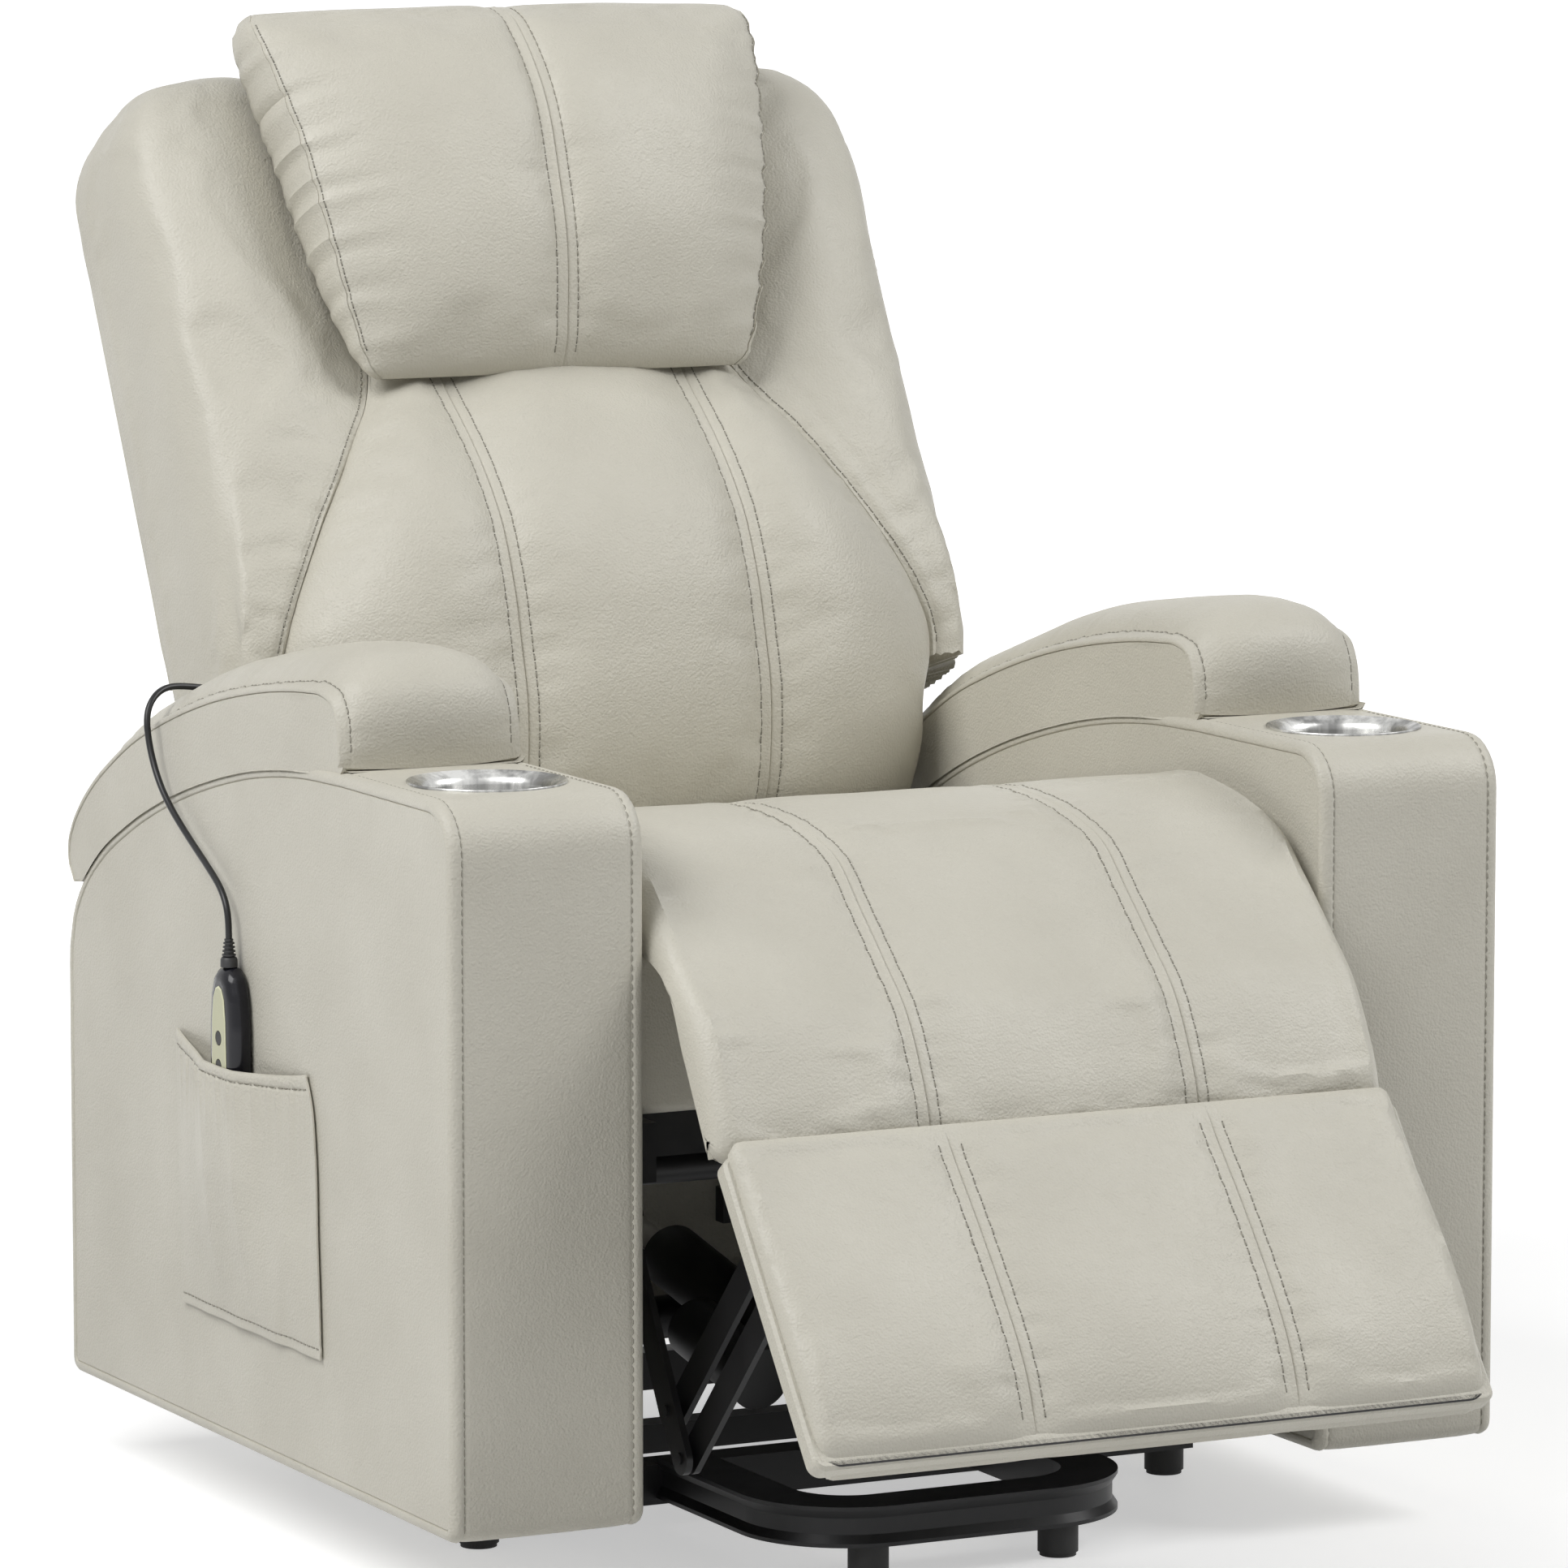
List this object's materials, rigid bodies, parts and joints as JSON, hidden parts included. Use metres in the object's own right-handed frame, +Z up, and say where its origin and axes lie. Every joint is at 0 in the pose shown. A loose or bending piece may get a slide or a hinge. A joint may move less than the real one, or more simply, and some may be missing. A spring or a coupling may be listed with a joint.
{
  "type": "power lift recliner chair with massage",
  "caption": "Padded power lift armchair with massage, reclining back, swing-out footrest, head pillow, cup holders in the arms and a corded handset in a side pocket.",
  "frame": {"origin": "on the floor under the middle of the chair's bounding box", "axes": "+Z up; the sitter faces -Y; the sitter's right hand is towards -X"},
  "size_m": [0.8754, 1.2385, 1.0975],
  "materials": {
    "upholstery": "warm pale grey faux leather, fine grain, semi matt",
    "black_steel": "black powder coat, semi gloss",
    "steel_rod": "ground and chromed",
    "cup_steel": "polished stainless steel",
    "black_plastic": "fine textured black",
    "handset_black": "gloss black",
    "handset_face": "pale olive label film",
    "button_rubber": "soft black",
    "foot_rubber": "black",
    "webbing": "woven elastic belt",
    "board": "ply board under black lining cloth"
  },
  "bodies": {
    "base": {"base_front_hoop": "black_steel", "base_mid_crossbar": "black_steel", "base_side_rails": "black_steel", "base_rear_crossbars": "black_steel", "base_pivot_brackets": "black_steel", "base_feet": "foot_rubber"},
    "lift_arm_pair": {"lift_arms": "black_steel", "lift_torque_tube": "black_steel"},
    "stabilizer_pair": {"lift_stabilizers": "black_steel"},
    "lift_housing": {"lift_actuator_housing": "black_plastic", "lift_actuator_motor": "black_plastic"},
    "lift_rod": {"lift_actuator_rod": "steel_rod"},
    "chassis": {"seat_side_rails": "black_steel", "seat_cross_rails": "black_steel", "seat_webbing": "webbing", "lift_seat_brackets": "black_steel", "seat_cushion": "upholstery", "left_arm_body": "upholstery", "right_arm_body": "upholstery", "left_arm_pad": "upholstery", "right_arm_pad": "upholstery", "left_cup_holder": "cup_steel", "right_cup_holder": "cup_steel", "side_pocket": "upholstery", "handset_shell": "handset_black", "handset_faceplate": "handset_face", "handset_strain_relief": "black_plastic", "handset_cord": "black_plastic", "cord_gland": "black_plastic", "rear_panel": "upholstery", "power_inlet": "black_plastic", "control_box": "black_plastic", "back_hinge_brackets": "black_steel", "footrest_seat_plates": "black_steel", "footrest_actuator_rail": "black_steel", "footrest_actuator_motor": "black_plastic", "recline_actuator_rail": "black_steel", "recline_actuator_motor": "black_plastic"},
    "raise_key": {"raise_button": "button_rubber"},
    "lower_key": {"lower_button": "button_rubber"},
    "massage_key": {"massage_button": "button_rubber"},
    "back": {"back_frame": "black_steel", "back_shell": "upholstery", "back_cushion": "upholstery", "left_back_wing": "upholstery", "right_back_wing": "upholstery", "head_pillow": "upholstery", "back_vibration_motors": "black_plastic"},
    "recline_slide_block": {"recline_slider": "black_plastic"},
    "footrest": {"calf_pad": "upholstery", "footrest_board": "board", "footrest_pad": "upholstery", "footrest_brackets": "black_steel"},
    "rear_links": {"footrest_rear_links": "black_steel", "footrest_drive_tube": "black_steel"},
    "lower_front_links": {"footrest_lower_links": "black_steel"},
    "upper_front_links": {"footrest_upper_links": "black_steel"},
    "footrest_slide_block": {"footrest_slider": "black_plastic"}
  },
  "joints": [
    {"name": "lift", "type": "hinge", "parent": "base", "child": "lift_arm_pair", "pos_m": [0, 0.264, 0.081], "axis": [-1, 0, 0], "range_deg": [0, 45]},
    {"name": "chassis_tilt", "type": "hinge", "parent": "lift_arm_pair", "child": "chassis", "pos_m": [0, -0.032, 0.146], "axis": [1, 0, 0], "range_deg": [0, 64]},
    {"name": "stabilizer_swing", "type": "hinge", "parent": "base", "child": "stabilizer_pair", "pos_m": [0, 0.154, 0.165], "axis": [-1, 0, 0], "range_deg": [0, 52.1]},
    {"name": "lift_motor_tilt", "type": "hinge", "parent": "base", "child": "lift_housing", "pos_m": [0, -0.109, 0.093], "axis": [-1, 0, 0], "range_deg": [0, 4.9]},
    {"name": "lift_rod_extend", "type": "slide", "parent": "lift_housing", "child": "lift_rod", "axis": [0, 0.982, 0.189], "range_m": [0, 0.0555]},
    {"name": "recline", "type": "hinge", "parent": "chassis", "child": "back", "pos_m": [0, 0.334, 0.425], "axis": [-1, 0, 0], "range_deg": [0, 35]},
    {"name": "recline_block_slide", "type": "slide", "parent": "chassis", "child": "recline_slide_block", "axis": [0, 1, 0], "range_m": [-0.0468, 0]},
    {"name": "footrest_swing", "type": "hinge", "parent": "chassis", "child": "footrest", "pos_m": [0, -0.348, 0.472], "axis": [-1, 0, 0], "range_deg": [-31, 53]},
    {"name": "rear_link_swing", "type": "hinge", "parent": "chassis", "child": "rear_links", "pos_m": [0, -0.172, 0.287], "axis": [-1, 0, 0], "range_deg": [-31, 53]},
    {"name": "lower_front_link_swing", "type": "hinge", "parent": "rear_links", "child": "lower_front_links", "pos_m": [0, -0.286, 0.095], "axis": [-1, 0, 0], "range_deg": [-53, 31]},
    {"name": "upper_front_link_swing", "type": "hinge", "parent": "rear_links", "child": "upper_front_links", "pos_m": [0, -0.264, 0.126], "axis": [-1, 0, 0], "range_deg": [-53, 31]},
    {"name": "footrest_block_slide", "type": "slide", "parent": "chassis", "child": "footrest_slide_block", "axis": [0, 1, 0], "range_m": [-0.0607, 0.0355]},
    {"name": "raise_press", "type": "slide", "parent": "chassis", "child": "raise_key", "axis": [1, 0, 0], "range_m": [0, 0.001], "stiffness_N_per_m": 900},
    {"name": "lower_press", "type": "slide", "parent": "chassis", "child": "lower_key", "axis": [1, 0, 0], "range_m": [0, 0.001], "stiffness_N_per_m": 900},
    {"name": "massage_press", "type": "slide", "parent": "chassis", "child": "massage_key", "axis": [1, 0, 0], "range_m": [0, 0.001], "stiffness_N_per_m": 900}
  ],
  "couplings": [
    {"joint": "chassis_tilt", "follows": "lift", "ratio": 1.421},
    {"joint": "stabilizer_swing", "follows": "lift", "ratio": 1.156},
    {"joint": "lift_motor_tilt", "follows": "lift", "ratio": 0.108},
    {"joint": "lift_rod_extend", "follows": "lift", "m_per_rad": 0.07045},
    {"joint": "recline_block_slide", "follows": "recline", "m_per_rad": -0.0764},
    {"joint": "rear_link_swing", "follows": "footrest_swing", "ratio": 1},
    {"joint": "lower_front_link_swing", "follows": "footrest_swing", "ratio": -1},
    {"joint": "upper_front_link_swing", "follows": "footrest_swing", "ratio": -1},
    {"joint": "footrest_block_slide", "follows": "footrest_swing", "m_per_rad": -0.0655}
  ]
}
